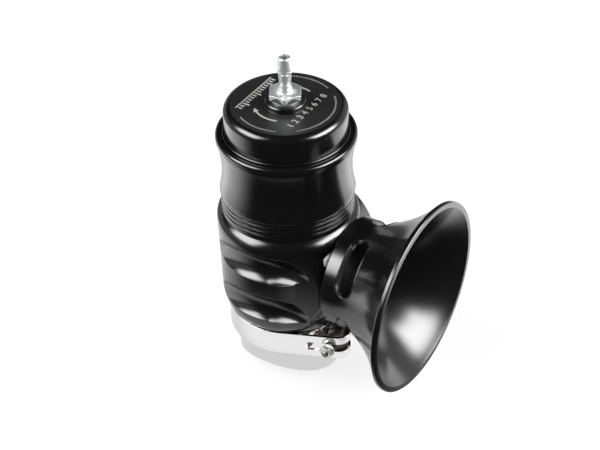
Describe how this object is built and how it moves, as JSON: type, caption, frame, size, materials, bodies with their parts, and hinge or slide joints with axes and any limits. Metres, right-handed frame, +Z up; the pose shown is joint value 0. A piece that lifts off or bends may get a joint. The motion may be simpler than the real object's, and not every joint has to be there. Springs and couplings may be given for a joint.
{
  "type": "blow off valve",
  "caption": "Blow off valve: clamped weld-on inlet, fluted body with a slotted trumpet outlet, and a screwed cap with a hose barb that sets the spring on its piston.",
  "frame": {"origin": "on the valve's axis, at the crown of the saddle cut in the inlet tube", "axes": "+Z up the valve's axis towards the hose fitting, +X along the outlet towards the trumpet's mouth"},
  "size_m": [0.1062, 0.092, 0.1672],
  "materials": {
    "black_anodised": "gloss black anodised",
    "polished_steel": "mirror polished",
    "zinc_steel": "bright zinc plated",
    "spring_steel": "drawn wire",
    "bare_aluminium": "turned",
    "liner_bronze": "bored",
    "seal_rubber": "moulded"
  },
  "bodies": {
    "housing": {"weld_flange": "polished_steel", "flange_o_ring": "seal_rubber", "clamp_strap": "polished_steel", "clamp_segments": "polished_steel", "clamp_trunnion": "zinc_steel", "clamp_bolt": "zinc_steel", "clamp_washer": "zinc_steel", "clamp_nut": "zinc_steel", "body": "black_anodised", "liner": "liner_bronze", "liner_o_rings": "seal_rubber", "collar": "black_anodised", "collar_o_ring": "seal_rubber", "trumpet": "black_anodised", "trumpet_o_ring": "seal_rubber", "trumpet_clip": "spring_steel"},
    "piston": {"piston": "bare_aluminium", "piston_seal": "seal_rubber", "piston_rings": "seal_rubber"},
    "spring_carrier": {"spring_seat": "bare_aluminium", "thrust_washer": "liner_bronze", "main_spring": "spring_steel"},
    "adjuster": {"cap": "black_anodised", "cap_o_ring": "seal_rubber", "hose_fitting": "zinc_steel", "fitting_washer": "zinc_steel"}
  },
  "joints": [
    {"name": "piston_lift", "type": "slide", "parent": "housing", "child": "piston", "axis": [0, 0, 1], "range_m": [0, 0.016], "stiffness_N_per_m": 900, "springref_m": -0.012, "deforming": ["main_spring"]},
    {"name": "spring_feed", "type": "slide", "parent": "housing", "child": "spring_carrier", "axis": [0, 0, 1], "range_m": [-0.00305, 0.00305], "deforming": ["main_spring"]},
    {"name": "cap_turn", "type": "hinge", "parent": "spring_carrier", "child": "adjuster", "pos_m": [0, 0, 0.119], "axis": [0, 0, 1], "range_deg": [-720, 720], "deforming": ["main_spring"]}
  ],
  "couplings": [
    {"joint": "spring_feed", "follows": "cap_turn", "m_per_rad": 0.00023873}
  ]
}
